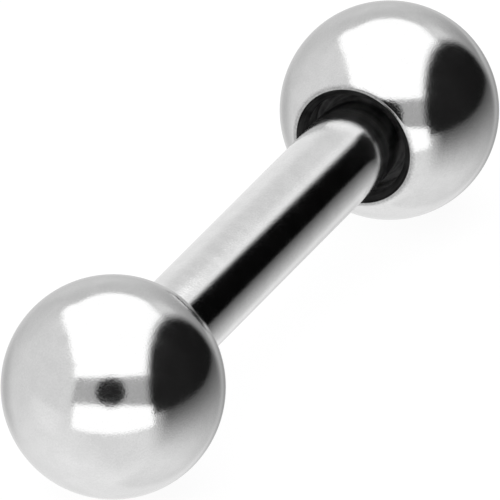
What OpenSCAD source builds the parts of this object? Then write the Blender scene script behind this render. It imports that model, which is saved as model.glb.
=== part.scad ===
// Straight piercing barbell. A round bar has a threaded stud at each end, and a ball
// with a counterbored blind hole screws onto each stud. The bar lies along Y, both balls
// touch the XY plane, and the origin is on that plane midway between them.

/* [Bar] */
// Diameter of the bar
bar_d = 1.63; // [1.5:0.01:1.8]
// Length of the bar from shoulder to shoulder
bar_length = 10; // [6:0.5:20]
// Width of the bevel round each shoulder
shoulder_bevel = 0.04; // [0.02:0.01:0.08]

/* [Thread] */
// Outer diameter of the thread
thread_d = 1.2; // [1:0.05:1.25]
// Distance from one ridge of the thread to the next
thread_pitch = 0.25; // [0.2:0.05:0.3]
// Depth of the groove between two ridges
thread_depth = 0.15; // [0.1:0.01:0.17]
// Length of each stud, from the shoulder to its tip
stud_length = 2; // [1.2:0.1:2.1]
// Length of the plain neck between the shoulder and the first ridge
neck_length = 0.2; // [0.1:0.05:0.4]
// Width of the bevel round the tip of the stud
tip_bevel = 0.15; // [0.1:0.01:0.17]

/* [Balls] */
// Diameter of each ball
ball_d = 4; // [3.8:0.1:6]
// Diameter of the counterbore that takes the end of the bar
counterbore_d = 1.95; // [1.9:0.05:2.1]
// Depth of the counterbore, from the rim to the seat for the shoulder
counterbore_depth = 0.575; // [0.4:0.025:0.7]
// Width of the chamfer round the counterbore
chamfer_w = 0.125; // [0.05:0.025:0.2]
// Full angle of the chamfer
chamfer_angle = 90; // [70:5:110]
// Width of the flat lip round the rim
lip_w = 0.06; // [0.03:0.01:0.12]
// Space between the tip of the stud and the start of the drill point
hole_spare = 0.25; // [0.1:0.05:0.3]
// Full angle of the drill point at the bottom of the hole
drill_angle = 118; // [110:2:130]

/* [Fit] */
// Radial clearance round the thread
thread_fit = 0.04; // [0.02:0.01:0.06]
// Gap between the shoulder and its seat
seat_gap = 0.02; // [0.01:0.01:0.05]

/* [Hidden] */
$fn = 96;
steel = [0.80, 0.81, 0.82];
end_over = 1;

bar_r = bar_d / 2;
thread_r = thread_d / 2;
core_r = thread_r - thread_depth;
ball_r = ball_d / 2;
counterbore_r = counterbore_d / 2;
mouth_r = counterbore_r + chamfer_w;
thread_hole_r = thread_r + thread_fit;

// Heights inside a ball, from its centre towards its mouth
rim_z = sqrt(pow(ball_r, 2) - pow(mouth_r + lip_w, 2));
chamfer_z = rim_z - chamfer_w / tan(chamfer_angle / 2);
seat_z = rim_z - counterbore_depth;
hole_z = seat_z + seat_gap - stud_length - hole_spare;
drill_z = hole_z - thread_hole_r / tan(drill_angle / 2);

// Distance from the origin to the centre of each ball, along Y
ball_y = bar_length / 2 + seat_gap + seat_z;

// How far each ball is turned on its thread. A round ball looks alike at any turn, but a
// meshed one has flat faces: at this turn one of them lies level on the floor.
ball_turn = 2;

// Outline of one stud: distance from the axis, then height above the shoulder
ridge_count = floor((stud_length - neck_length - tip_bevel) / thread_pitch);
ridges = [
    for (i = [0 : ridge_count - 1])
        let (foot_z = neck_length + i * thread_pitch)
        each [[core_r, foot_z], [thread_r, foot_z + thread_pitch / 2]]
];
last_foot_z = neck_length + ridge_count * thread_pitch;
stud_outline = concat(
    [[0, -end_over], [core_r, -end_over]],
    ridges,
    [[core_r, last_foot_z], [core_r, stud_length - tip_bevel / 2]],
    [[core_r - tip_bevel / 2, stud_length], [0, stud_length]]
);

// Outline of the space cut into a ball: distance from the axis, then height above the centre
hole_outline = [
    [0, drill_z],
    [thread_hole_r, hole_z],
    [thread_hole_r, seat_z],
    [counterbore_r, seat_z],
    [counterbore_r, chamfer_z],
    [mouth_r, rim_z],
    [ball_r, rim_z],
    [ball_r, ball_r + end_over],
    [0, ball_r + end_over]
];

// One stud, standing on the XY plane
module stud() {
    rotate_extrude() polygon(stud_outline);
}

// The bar without its studs, centred on the origin along Z
module bar() {
    rotate_extrude()
        polygon([
            [0, -bar_length / 2],
            [bar_r - shoulder_bevel, -bar_length / 2],
            [bar_r, -bar_length / 2 + shoulder_bevel],
            [bar_r, bar_length / 2 - shoulder_bevel],
            [bar_r - shoulder_bevel, bar_length / 2],
            [0, bar_length / 2]
        ]);
}

// A ball centred on the origin, with its mouth facing +Z
module drilled_ball() {
    difference() {
        sphere(r = ball_r);
        rotate_extrude() polygon(hole_outline);
    }
}

module shaft() {
    color(steel)
        translate([0, 0, ball_r])
        rotate([90, 0, 0]) {
            bar();
            translate([0, 0, bar_length / 2]) stud();
            mirror([0, 0, 1]) translate([0, 0, bar_length / 2]) stud();
        }
}

module front_ball() {
    color(steel)
        translate([0, -ball_y, ball_r])
        rotate([-90, 0, 0])
        rotate([0, 0, -ball_turn])
        drilled_ball();
}

module rear_ball() {
    color(steel)
        translate([0, ball_y, ball_r])
        rotate([90, 0, 0])
        rotate([0, 0, ball_turn])
        drilled_ball();
}

shaft();
front_ball();
rear_ball();
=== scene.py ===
import math

import bmesh
import bpy
from mathutils import Matrix, Vector


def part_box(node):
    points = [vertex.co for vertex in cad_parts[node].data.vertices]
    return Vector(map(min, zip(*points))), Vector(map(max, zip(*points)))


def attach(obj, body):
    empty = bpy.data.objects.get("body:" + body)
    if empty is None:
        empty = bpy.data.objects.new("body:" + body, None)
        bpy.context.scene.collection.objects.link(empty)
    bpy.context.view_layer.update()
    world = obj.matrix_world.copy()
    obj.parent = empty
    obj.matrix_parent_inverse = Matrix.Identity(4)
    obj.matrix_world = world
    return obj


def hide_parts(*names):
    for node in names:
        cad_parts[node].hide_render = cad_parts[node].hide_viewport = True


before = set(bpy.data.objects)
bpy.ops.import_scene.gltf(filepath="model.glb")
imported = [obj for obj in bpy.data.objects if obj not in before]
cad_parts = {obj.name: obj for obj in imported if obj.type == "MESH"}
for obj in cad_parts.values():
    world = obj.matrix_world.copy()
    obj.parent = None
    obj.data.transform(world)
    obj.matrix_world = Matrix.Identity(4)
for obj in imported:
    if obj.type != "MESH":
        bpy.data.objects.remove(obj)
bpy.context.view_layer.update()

MM = 0.001
UP = Vector((0, 0, 1))

# Sizes of the balls and the bar, and their places along the bar's axis
BALL_RADIUS = 2.0 * MM
BAR_RADIUS = 0.815 * MM
STUD_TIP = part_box("shaft")[1].y
MOUTH_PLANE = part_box("rear_ball")[0].y
BALL_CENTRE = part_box("rear_ball")[1].y - BALL_RADIUS
RIM_HEIGHT = BALL_CENTRE - MOUTH_PLANE

# The round lip of a ball's mouth. Heights are above the ball's centre, distances from its axis.
LIP_RADIUS = 0.08 * MM
LIP_HEIGHT = RIM_HEIGHT - LIP_RADIUS
LIP_DISTANCE = math.sqrt((BALL_RADIUS - LIP_RADIUS) ** 2 - LIP_HEIGHT**2)
POLISH_OVER_LIP = math.radians(6)
POLISH_EDGE = LIP_DISTANCE - LIP_RADIUS * math.sin(POLISH_OVER_LIP)

# The chamfer, the counterbore and the tapped hole below the lip
CHAMFER_SLOPE = math.radians(45)
COUNTERBORE_RADIUS = 0.975 * MM
COUNTERBORE_DEPTH = 0.575 * MM
CHAMFER_TOP_RADIUS = LIP_DISTANCE - LIP_RADIUS * math.sin(CHAMFER_SLOPE)
CHAMFER_TOP = LIP_HEIGHT + LIP_RADIUS * math.cos(CHAMFER_SLOPE)
CHAMFER_FOOT = CHAMFER_TOP - (CHAMFER_TOP_RADIUS - COUNTERBORE_RADIUS) / math.tan(CHAMFER_SLOPE)
SEAT_HEIGHT = RIM_HEIGHT - COUNTERBORE_DEPTH
HOLE_DEPTH = 2.23 * MM
DRILL_SLOPE = math.radians(31)
TAP_CREST = 0.62 * MM
TAP_ROOT = 0.70 * MM

# The bar's shoulders and studs
THREAD_RADIUS = 0.6 * MM
THREAD_CORE = 0.45 * MM
THREAD_PITCH = 0.25 * MM
NECK_LENGTH = 0.2 * MM
TIP_BEVEL = 0.15 * MM
STUD_LENGTH = 2.0 * MM
SHOULDER = STUD_TIP - STUD_LENGTH
SHOULDER_ROUNDING = 0.04 * MM
SHOULDER_HOLE = THREAD_CORE * 1.1

# A ridge of the thread, from the middle of the groove to its foot and to its flat top, in pitches
RIDGE_FOOT = 0.15
RIDGE_TOP = 0.45
RISE_FROM_NECK = 0.9

# How finely the round pieces are divided
ROUND_STEPS = 192
BALL_ARC_STEPS = 88
SMALL_ARC_STEPS = 8
THREAD_STEPS = 72
SHARP_ANGLE = math.radians(30)

# Corners nearer to each other than this are merged, and corners nearer to a height than this lie on it
MERGE_DISTANCE = 1e-9
THREAD_MERGE_DISTANCE = 1e-8
LEVEL_TOLERANCE = 1e-7

# Faces further than this share of its radius from a ball's centre lie on its surface
ON_BALL = 0.995

# Patterns of the steel, in patches per millimetre
CLOUD_SCALE = 2.5
GRAIN_SCALE = 30.0
TURNING_SCALE = 22.0
TURNING_BREAKS = 0.03
MARKS_SHARE = 0.5
PATTERN_RANGE = (0.35, 0.65)
MARKS_HEIGHT = 0.01 * MM

# The painted shade round a mouth, in millimetres
PAINTED_SHADE_WIDTH = 0.075
PAINTED_SHADE_RAGGEDNESS = 0.04
PAINTED_SHADE_LEVEL = 0.02

# Camera, by its direction from the object
CAMERA_AZIMUTH = 24.129
CAMERA_ELEVATION = 26.661
CAMERA_DISTANCE = 376.62 * MM
CAMERA_LENS = 1508.5
CAMERA_AIM = Vector((-0.040, -0.047, 1.946)) * MM

# Light levels in the studio, where 1 is the white of the background
LAMP = 1.45
WALL = 0.70
LEFT_WALL = 0.86
GREY = 0.5
BLACK = 0.002

# Round patches in the studio: azimuth and elevation of the middle, radius and softness, in degrees
BACK_WALL_PATCH = (189, 4, 16, 10)
SIDE_LAMP = (-141, 42, 7, 2.5)
LEFT_CARD = (-92.5, -5, 55.2, 2)
CARD_GLOW = (140, 33, 9, 6)
BLACK_CARD = (89.6, 3.6, 51.5, 5)
LENS = (-2.3, 21.6, 15.2, 2)
FRONT_GROUND = (10, -45, 25, 20)
LEFT_GROUND = (-65, -20, 20, 16)
BACK_GROUND = (180, -48, 24, 14)
BACK_LEFT_HORIZON = (217, -20, 13, 11)
BACK_HORIZON = (188, -20, 13, 10)
BACK_RIGHT_HORIZON = (163, -24, 12, 8)


def outline_start(bm, radius, height):
    """The first corner of an outline."""
    return bm.verts.new((radius, 0, height))


def outline_line(bm, vert, radius, height):
    """Draws the outline on to a new corner."""
    new = bmesh.ops.extrude_vert_indiv(bm, verts=[vert])["verts"][0]
    new.co = (radius, 0, height)
    return new


def outline_arc(bm, vert, centre, angle, steps):
    """Draws the outline on round a centre, given as radius and height.

    A positive angle turns outwards from the top.
    """
    turned = bmesh.ops.spin(
        bm,
        geom=[vert],
        cent=(centre[0], 0, centre[1]),
        axis=(0, 1, 0),
        angle=angle,
        steps=steps,
    )
    return next(g for g in turned["geom_last"] if isinstance(g, bmesh.types.BMVert))


def turn_outline(bm, steps):
    """Turns the whole outline once round the Z axis, as on a lathe."""
    bmesh.ops.spin(
        bm,
        geom=bm.verts[:] + bm.edges[:],
        cent=(0, 0, 0),
        axis=(0, 0, 1),
        angle=math.tau,
        steps=steps,
        use_merge=True,
    )
    bmesh.ops.remove_doubles(bm, verts=bm.verts[:], dist=MERGE_DISTANCE)


def finish_piece(bm, name, place, materials, finish_at):
    """Makes the object with smooth faces and hard edges. finish_at says which material a face has."""
    bmesh.ops.recalc_face_normals(bm, faces=bm.faces[:])
    for face in bm.faces:
        face.smooth = True
        face.material_index = finish_at(face.calc_center_median())
    for edge in bm.edges:
        edge.smooth = edge.calc_face_angle(0) < SHARP_ANGLE
    bmesh.ops.transform(bm, matrix=place, verts=bm.verts[:])
    mesh = bpy.data.meshes.new(name)
    bm.to_mesh(mesh)
    bm.free()
    for material in materials:
        mesh.materials.append(material)
    piece = bpy.data.objects.new(name, mesh)
    bpy.context.scene.collection.objects.link(piece)
    return piece


def ball_outline(bm):
    """The outline of a ball, from its pole round its side and lip to the foot of the chamfer."""
    lip_direction = math.atan2(LIP_DISTANCE, LIP_HEIGHT)
    lip_turn = lip_direction + CHAMFER_SLOPE
    pen = outline_start(bm, 0, -BALL_RADIUS)
    pen = outline_arc(bm, pen, (0, 0), lip_direction - math.pi, BALL_ARC_STEPS)
    pen = outline_arc(bm, pen, (LIP_DISTANCE, LIP_HEIGHT), -lip_turn, SMALL_ARC_STEPS)
    return outline_line(bm, pen, COUNTERBORE_RADIUS, CHAMFER_FOOT)


def hole_outline(bm, pen):
    """The outline on down the counterbore, across the seat and down the tapped hole to its point."""
    hole_foot = SEAT_HEIGHT - HOLE_DEPTH
    pen = outline_line(bm, pen, COUNTERBORE_RADIUS, SEAT_HEIGHT)
    pen = outline_line(bm, pen, TAP_ROOT, SEAT_HEIGHT)
    groove = SEAT_HEIGHT
    while groove - THREAD_PITCH > hole_foot:
        pen = outline_line(bm, pen, TAP_CREST, groove - THREAD_PITCH / 2)
        groove -= THREAD_PITCH
        pen = outline_line(bm, pen, TAP_ROOT, groove)
    pen = outline_line(bm, pen, TAP_CREST, hole_foot)
    outline_line(bm, pen, 0, hole_foot - TAP_CREST * math.tan(DRILL_SLOPE))


def ball_finish(centre):
    """The finish of a ball's face: 0 is the polish, 1 the chamfer's and 2 the bore's, both painted dark as
    shade inside the mouth.
    """
    on_surface = centre.length > BALL_RADIUS * ON_BALL
    if on_surface or math.hypot(centre.x, centre.y) > POLISH_EDGE:
        return 0
    return 1 if centre.z > CHAMFER_FOOT else 2


def ball(name, side, materials):
    """A ball with its mouth towards the bar. side is -1 in front and 1 at the rear."""
    bm = bmesh.new()
    pen = ball_outline(bm)
    hole_outline(bm, pen)
    turn_outline(bm, ROUND_STEPS)
    centre = Vector((0, side * BALL_CENTRE, BALL_RADIUS))
    place = Matrix.Translation(centre) @ Matrix.Rotation(side * math.pi / 2, 4, "X")
    return finish_piece(bm, name, place, materials, ball_finish)


def helix(bm):
    """One long thread round the Z axis, a little longer than the stud at both ends."""
    pen = outline_start(bm, THREAD_CORE, -THREAD_PITCH)
    pen = outline_line(bm, pen, THREAD_CORE, THREAD_PITCH * (RIDGE_FOOT - 1))
    pen = outline_line(bm, pen, THREAD_RADIUS, THREAD_PITCH * (RIDGE_TOP - 1))
    pen = outline_line(bm, pen, THREAD_RADIUS, -THREAD_PITCH * RIDGE_TOP)
    pen = outline_line(bm, pen, THREAD_CORE, -THREAD_PITCH * RIDGE_FOOT)
    outline_line(bm, pen, THREAD_CORE, 0)
    turns = math.ceil(STUD_LENGTH / THREAD_PITCH) + 2
    bmesh.ops.spin(
        bm,
        geom=bm.verts[:] + bm.edges[:],
        cent=(0, 0, 0),
        axis=(0, 0, 1),
        dvec=(0, 0, THREAD_PITCH / THREAD_STEPS),
        angle=math.tau * turns,
        steps=THREAD_STEPS * turns,
    )
    bmesh.ops.remove_doubles(bm, verts=bm.verts[:], dist=THREAD_MERGE_DISTANCE)


def cut_off(bm, height, normal):
    """Cuts the mesh straight across and clears what lies beyond the cut."""
    bmesh.ops.bisect_plane(
        bm,
        geom=bm.verts[:] + bm.edges[:] + bm.faces[:],
        dist=MERGE_DISTANCE,
        plane_co=(0, 0, height),
        plane_no=(0, 0, normal),
        clear_outer=True,
    )


def open_loop(bm, height):
    """The open edges at one height."""

    def is_level(edge):
        return all(abs(vert.co.z - height) < LEVEL_TOLERANCE for vert in edge.verts)

    return [edge for edge in bm.edges if edge.is_boundary and is_level(edge)]


def turn_down_ends(bm):
    """Turns the thread down to its core where it starts at the neck, and to a bevel at the tip."""
    for vert in bm.verts:
        from_neck = max(0, vert.co.z - NECK_LENGTH)
        from_tip = max(0, STUD_LENGTH - vert.co.z)
        limit = THREAD_CORE + from_neck * RISE_FROM_NECK
        limit = min(limit, THREAD_CORE - TIP_BEVEL / 2 + from_tip)
        radius = math.hypot(vert.co.x, vert.co.y)
        if radius > limit:
            vert.co.x *= limit / radius
            vert.co.y *= limit / radius


def stud(bm, side):
    """Adds the threaded stud at one end, open where it meets the shoulder."""
    part = bmesh.new()
    helix(part)
    cut_off(part, STUD_LENGTH, 1)
    cut_off(part, NECK_LENGTH, -1)
    turn_down_ends(part)
    bmesh.ops.contextual_create(part, geom=open_loop(part, STUD_LENGTH))
    neck = bmesh.ops.extrude_edge_only(part, edges=open_loop(part, NECK_LENGTH))
    for vert in (g for g in neck["geom"] if isinstance(g, bmesh.types.BMVert)):
        vert.co.z = 0
    # Turning the front stud end for end keeps its thread right-handed
    turn = Matrix.Identity(4) if side > 0 else Matrix.Rotation(math.pi, 4, "X")
    place = Matrix.Translation((0, 0, side * SHOULDER)) @ turn
    bmesh.ops.transform(part, matrix=place, verts=part.verts[:])
    loose = bpy.data.meshes.new("stud")
    part.to_mesh(loose)
    part.free()
    bm.from_mesh(loose)
    bpy.data.meshes.remove(loose)


def plain_bar(bm):
    """The bar with rounded shoulders, open at both ends where the studs go."""
    rounding_centre = BAR_RADIUS - SHOULDER_ROUNDING
    rounding_height = SHOULDER - SHOULDER_ROUNDING
    quarter = -math.pi / 2
    pen = outline_start(bm, SHOULDER_HOLE, -SHOULDER)
    pen = outline_line(bm, pen, rounding_centre, -SHOULDER)
    pen = outline_arc(bm, pen, (rounding_centre, -rounding_height), quarter, SMALL_ARC_STEPS)
    pen = outline_line(bm, pen, BAR_RADIUS, rounding_height)
    pen = outline_arc(bm, pen, (rounding_centre, rounding_height), quarter, SMALL_ARC_STEPS)
    outline_line(bm, pen, SHOULDER_HOLE, SHOULDER)
    turn_outline(bm, ROUND_STEPS)


def bar_finish(centre):
    """The finish of a face of the bar: 0 is the polish, and 1 that of the shoulders and the studs."""
    return int(abs(centre.z) > SHOULDER - SHOULDER_ROUNDING / 2)


def bar(name, materials):
    """The bar with a threaded stud at each end, as one closed shell."""
    bm = bmesh.new()
    plain_bar(bm)
    for side in (-1, 1):
        stud(bm, side)
        bmesh.ops.bridge_loops(bm, edges=open_loop(bm, side * SHOULDER))
    place = Matrix.Translation((0, 0, BALL_RADIUS)) @ Matrix.Rotation(-math.pi / 2, 4, "X")
    return finish_piece(bm, name, place, materials, bar_finish)


class Nodes:
    """A node tree with short calls: each returns the output socket of the node that it adds."""

    def __init__(self, tree):
        self.tree = tree

    def add(self, kind, inputs=(), output=0, **settings):
        """Adds a node. An input is a number or a colour to set, or a socket to link."""
        node = self.tree.nodes.new(kind)
        for key, value in settings.items():
            setattr(node, key, value)
        for key, value in dict(inputs).items():
            if isinstance(value, bpy.types.NodeSocket):
                self.tree.links.new(value, node.inputs[key])
            else:
                node.inputs[key].default_value = value
        return node.outputs[output] if node.outputs else None

    def math(self, operation, *values):
        return self.add("ShaderNodeMath", enumerate(values), operation=operation)

    def vector(self, operation, *values, output=0):
        return self.add("ShaderNodeVectorMath", enumerate(values), output, operation=operation)

    def dot(self, first, second):
        return self.vector("DOT_PRODUCT", first, second, output=1)

    def ramp(self, value, start, end, low=0.0, high=1.0):
        """A smooth step from low at start to high at end."""
        inputs = {0: value, 1: start, 2: end, 3: low, 4: high}
        return self.add("ShaderNodeMapRange", inputs, interpolation_type="SMOOTHSTEP")

    def mix(self, share, first, second):
        """Two numbers mixed, with this share of the second one."""
        return self.add("ShaderNodeMix", {0: share, 2: first, 3: second}, data_type="FLOAT")

    def mix_colours(self, share, first, second):
        """Two colours mixed, with this share of the second one."""
        inputs = {0: share, 6: first, 7: second}
        return self.add("ShaderNodeMix", inputs, output=2, data_type="RGBA")

    def noise(self, place, scale, detail):
        return self.add("ShaderNodeTexNoise", {"Vector": place, "Scale": scale, "Detail": detail})


def grey(level):
    """A neutral colour of one level."""
    return (level, level, level, 1)


def new_material(name):
    """An empty material and its nodes."""
    material = bpy.data.materials.new(name)
    material.use_nodes = True
    material.node_tree.nodes.clear()
    return material, Nodes(material.node_tree)


def polishing_marks(nodes, in_mm):
    """Fine grain, alike in every direction."""
    return nodes.noise(in_mm, GRAIN_SCALE, 2.0)


def turning_marks(nodes, in_mm):
    """Streaks that run round the bar's axis, broken here and there."""
    from_axis = nodes.vector("SUBTRACT", in_mm, UP * (BALL_RADIUS / MM))
    across = nodes.vector("MULTIPLY", from_axis, (1, 0, 1))
    radius = nodes.vector("LENGTH", across, output=1)
    along = nodes.dot(from_axis, (0, 1, 0))
    rings = nodes.add("ShaderNodeCombineXYZ", {0: radius, 1: along})
    streaks = nodes.vector("MULTIPLY_ADD", across, (TURNING_BREAKS,) * 3, rings)
    return nodes.noise(streaks, TURNING_SCALE, 4.0)


def painted_mouth_shade(nodes, in_mm, marks):
    """How dark the polish is painted outside a ball's mouth, as shade at the mouth: 1 at the rim and 0
    further out, with a ragged edge.
    """
    along = nodes.math("ABSOLUTE", nodes.dot(in_mm, (0, 1, 0)))
    ragged = nodes.math("MULTIPLY_ADD", marks, PAINTED_SHADE_RAGGEDNESS, along)
    rim = MOUTH_PLANE / MM
    return nodes.ramp(ragged, rim, rim + PAINTED_SHADE_WIDTH, 1.0, 0.0)


def steel(
    name, shades, roughness, marks_depth, marking=polishing_marks, metal=1.0, edge_tint=1.0, painted_rim_shade=0.0
):
    """Steel with a cloudy shade between two greys, a cloudy roughness and fine marks of one depth."""
    material, nodes = new_material(name)
    place = nodes.add("ShaderNodeTexCoord", output="Object")
    in_mm = nodes.vector("MULTIPLY", place, (1 / MM,) * 3)
    cloud = nodes.noise(in_mm, CLOUD_SCALE, 4.0)
    marks = marking(nodes, in_mm)
    pattern = nodes.mix(MARKS_SHARE, cloud, marks)
    shade = nodes.ramp(pattern, *PATTERN_RANGE)
    colour = nodes.mix_colours(shade, grey(shades[0]), grey(shades[1]))
    # Painted shade: the polish is darkened round a ball's mouth
    if painted_rim_shade:
        painted_shade_share = nodes.math("MULTIPLY", painted_mouth_shade(nodes, in_mm, marks), painted_rim_shade)
        colour = nodes.mix_colours(painted_shade_share, colour, grey(PAINTED_SHADE_LEVEL))
    bump = {"Strength": marks_depth, "Distance": MARKS_HEIGHT, "Height": marks}
    surface = {
        "Base Color": colour,
        "Metallic": metal,
        "Roughness": nodes.ramp(pattern, *PATTERN_RANGE, *roughness),
        "Specular Tint": grey(edge_tint),
        "Normal": nodes.add("ShaderNodeBump", bump),
    }
    shader = nodes.add("ShaderNodeBsdfPrincipled", surface)
    nodes.add("ShaderNodeOutputMaterial", {"Surface": shader})
    return material


def polished_balls():
    """Mirror polish with a slight haze, and painted shade round each mouth."""
    return steel(
        "mirror_polished_balls",
        shades=(0.69, 0.75),
        roughness=(0.08, 0.15),
        marks_depth=0.11,
        metal=0.986,
        edge_tint=0.8,
        painted_rim_shade=0.55,
    )


def polished_bar():
    """Mirror polish, lighter than the balls'."""
    return steel("mirror_polished_bar", shades=(0.82, 0.90), roughness=(0.09, 0.14), marks_depth=0.12)


def turned_steel_painted_dark(name, shades):
    """Dull steel with turning streaks, painted dark as the shade inside a ball's mouth."""
    return steel(name, shades, roughness=(0.55, 0.75), marks_depth=0.8, marking=turning_marks)


def turned_thread():
    """Turned steel, half as bright as the polish."""
    return steel("turned_thread", shades=(0.40, 0.50), roughness=(0.25, 0.35), marks_depth=0.05)


class Sky(Nodes):
    """The nodes of the studio, which give a light level for each direction, in degrees.

    The azimuth goes round the object from the camera's side to the right, and the elevation is the
    height above the horizon.
    """

    def __init__(self, tree):
        super().__init__(tree)
        turn = math.radians(CAMERA_AZIMUTH)
        self.towards = Vector((math.sin(turn), -math.cos(turn), 0))
        self.right = Vector((math.cos(turn), math.sin(turn), 0))
        self.ray = self.add("ShaderNodeTexCoord", output="Generated")
        ahead = self.dot(self.ray, self.towards)
        aside = self.dot(self.ray, self.right)
        height = self.dot(self.ray, UP)
        self.azimuth = self.math("DEGREES", self.math("ARCTAN2", aside, ahead))
        self.elevation = self.math("DEGREES", self.math("ARCSINE", height))

    def band(self, value, start, end, soft):
        """1 between start and end, and 0 past their soft edges."""
        rise = self.ramp(value, start - soft, start + soft)
        fall = self.ramp(value, end - soft, end + soft, 1.0, 0.0)
        return self.math("MULTIPLY", rise, fall)

    def disc(self, azimuth, elevation, radius, soft):
        """1 inside a round patch, and 0 past its soft edge."""
        turn = math.radians(azimuth)
        tilt = math.radians(elevation)
        flat = self.towards * math.cos(turn) + self.right * math.sin(turn)
        centre = flat * math.cos(tilt) + UP * math.sin(tilt)
        angle = self.math("DEGREES", self.math("ARCCOSINE", self.dot(self.ray, centre)))
        return self.ramp(angle, radius - soft, radius + soft, 1.0, 0.0)

    def curved_elevation(self, bend, lean):
        """The height above a line that falls by lean for each degree of azimuth, and bends down too."""
        squared = self.math("MULTIPLY", self.azimuth, self.azimuth)
        bent = self.math("MULTIPLY_ADD", squared, bend, self.elevation)
        return self.math("MULTIPLY_ADD", self.azimuth, lean, bent)


def walls(sky):
    """Grey walls, lighter on the left. The right one darkens at its back, where a light patch follows."""
    wall = sky.ramp(sky.azimuth, -165, -105, WALL, LEFT_WALL)
    wall = sky.mix(sky.ramp(sky.azimuth, 0, 10), wall, WALL)
    right_wall = sky.ramp(sky.elevation, -5, 40, 0.36, 0.75)
    wall = sky.mix(sky.band(sky.azimuth, 110, 160, 12), wall, right_wall)
    return sky.mix(sky.disc(*BACK_WALL_PATCH), wall, 0.84)


def overhead_light(sky, light):
    """A white light overhead, which reaches lower in front, and a small lamp at the back on the left."""
    light = sky.mix(sky.ramp(sky.elevation, 38, 43), light, LAMP)
    light = sky.mix(sky.disc(*SIDE_LAMP), light, LAMP)
    lower_edge = sky.ramp(sky.curved_elevation(0.003, -0.03), 34.7, 37.7)
    front = sky.math("MULTIPLY", sky.band(sky.azimuth, -52, 52, 3), lower_edge)
    return sky.mix(front, light, LAMP)


def cards(sky, light, wall):
    """A left card as grey as the wall, a grey bar in front, and a black card before a glow on the right."""
    light = sky.mix(sky.disc(*LEFT_CARD), light, wall)
    bar_height = sky.band(sky.curved_elevation(0.003, -0.03), 6.5, 36.2, 1.5)
    grey_bar = sky.math("MULTIPLY", sky.band(sky.azimuth, -42.5, 42.5, 1.5), bar_height)
    light = sky.mix(grey_bar, light, GREY)
    light = sky.mix(sky.disc(*CARD_GLOW), light, 0.88)
    black = sky.ramp(sky.azimuth, 80, 115, 0.005, BLACK)
    return sky.mix(sky.disc(*BLACK_CARD), light, black)


def ground(sky, light):
    """The ground, with lighter and darker patches, and shaded below the black card."""
    level = sky.ramp(sky.elevation, -65, -5, 1.07, 0.85)
    level = sky.mix(sky.disc(*FRONT_GROUND), level, 0.92)
    level = sky.mix(sky.disc(*LEFT_GROUND), level, 1.02)
    level = sky.mix(sky.disc(*BACK_GROUND), level, 1.12)
    level = sky.mix(sky.disc(*BACK_LEFT_HORIZON), level, 0.68)
    level = sky.mix(sky.disc(*BACK_HORIZON), level, 0.86)
    card_shade = sky.ramp(sky.elevation, -58, 2, 0.95, 0.04)
    level = sky.mix(sky.band(sky.azimuth, 47, 148, 12), level, card_shade)
    level = sky.mix(sky.disc(*BACK_RIGHT_HORIZON), level, 0.46)
    return sky.mix(sky.ramp(sky.elevation, -8, -4, 1.0, 0.0), light, level)


def front_strip(sky, light):
    """A low white strip in front, with the dark lens above it."""
    foot = sky.ramp(sky.curved_elevation(-0.002, -0.03), -24, -21)
    top = sky.ramp(sky.curved_elevation(0.003, 0.025), 6.8, 9.8, 1.0, 0.0)
    leaning = sky.math("MULTIPLY_ADD", sky.elevation, 0.08, 0.2)
    aside = sky.math("ADD", sky.math("ABSOLUTE", sky.azimuth), leaning)
    ends = sky.ramp(aside, 39, 42, 1.0, 0.0)
    strip = sky.math("MULTIPLY", sky.math("MULTIPLY", foot, top), ends)
    light = sky.mix(strip, light, LAMP)
    return sky.mix(sky.disc(*LENS), light, BLACK)


def studio():
    """The soft light all round, as the polished steel mirrors it. The background itself is white."""
    world = bpy.data.worlds.new("studio")
    bpy.context.scene.world = world
    world.use_nodes = True
    world.node_tree.nodes.clear()
    sky = Sky(world.node_tree)
    wall = walls(sky)
    light = overhead_light(sky, wall)
    light = cards(sky, light, wall)
    light = ground(sky, light)
    light = front_strip(sky, light)
    seen = sky.add("ShaderNodeLightPath", output="Is Camera Ray")
    light = sky.mix(seen, light, 1.0)
    background = sky.add("ShaderNodeBackground", {"Color": grey(1), "Strength": light})
    sky.add("ShaderNodeOutputWorld", {"Surface": background})


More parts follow.
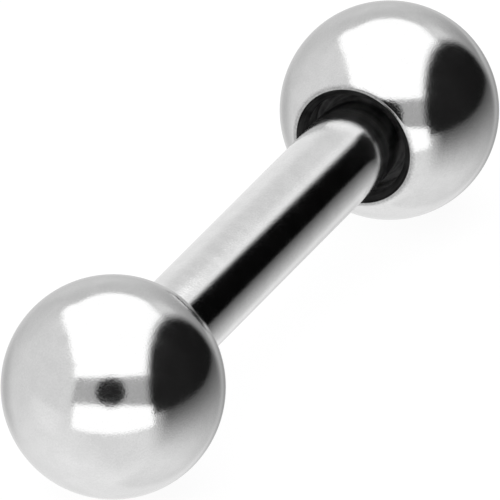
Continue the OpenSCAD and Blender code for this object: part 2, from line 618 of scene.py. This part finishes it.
def pale_floor():
    """Pale paper that glows evenly, as on a light table."""
    material, nodes = new_material("pale_floor")
    paper = nodes.add("ShaderNodeBsdfDiffuse", {"Color": grey(0.12)})
    glow = nodes.add("ShaderNodeEmission", {"Color": grey(1), "Strength": 0.92})
    both = nodes.add("ShaderNodeAddShader", {0: paper, 1: glow})
    nodes.add("ShaderNodeOutputMaterial", {"Surface": both})
    return material


def floor():
    """The plain floor, which the steel doesn't mirror, because the studio has a ground of its own."""
    bm = bmesh.new()
    bmesh.ops.create_grid(bm, x_segments=1, y_segments=1, size=0.5)
    mesh = bpy.data.meshes.new("floor")
    bm.to_mesh(mesh)
    bm.free()
    mesh.materials.append(pale_floor())
    plane = bpy.data.objects.new("floor", mesh)
    plane.visible_glossy = False
    bpy.context.scene.collection.objects.link(plane)


def camera():
    """The camera at the photo's angle, with a long lens."""
    azimuth = math.radians(CAMERA_AZIMUTH)
    elevation = math.radians(CAMERA_ELEVATION)
    flat = math.cos(elevation)
    back = Vector((math.sin(azimuth) * flat, -math.cos(azimuth) * flat, math.sin(elevation)))
    data = bpy.data.cameras.new("camera")
    data.sensor_width = 36
    data.lens = CAMERA_LENS
    data.clip_start = CAMERA_DISTANCE / 100
    data.clip_end = CAMERA_DISTANCE * 10
    view = bpy.data.objects.new("camera", data)
    view.location = CAMERA_AIM + back * CAMERA_DISTANCE
    view.rotation_mode = "QUATERNION"
    view.rotation_quaternion = (-back).to_track_quat("-Z", "Y")
    bpy.context.scene.collection.objects.link(view)
    bpy.context.scene.camera = view


bpy.context.scene.view_settings.view_transform = "Standard"
camera()
studio()
floor()

# The chamfer and the bore are painted dark as the shade inside the mouth, the chamfer darker than the bore
chamfer_painted_shade = turned_steel_painted_dark("chamfered_steel_painted_shade", (0.01, 0.06))
bore_painted_shade = turned_steel_painted_dark("bored_steel_painted_shade", (0.04, 0.24))
ball_finishes = [polished_balls(), chamfer_painted_shade, bore_painted_shade]
bar_finishes = [polished_bar(), turned_thread()]

front = ball("front_ball_polished", -1, ball_finishes)
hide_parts("front_ball")
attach(front, "front")

rear = ball("rear_ball_polished", 1, ball_finishes)
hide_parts("rear_ball")
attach(rear, "rear")

rod = bar("bar_and_studs", bar_finishes)
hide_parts("shaft")
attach(rod, "bar")
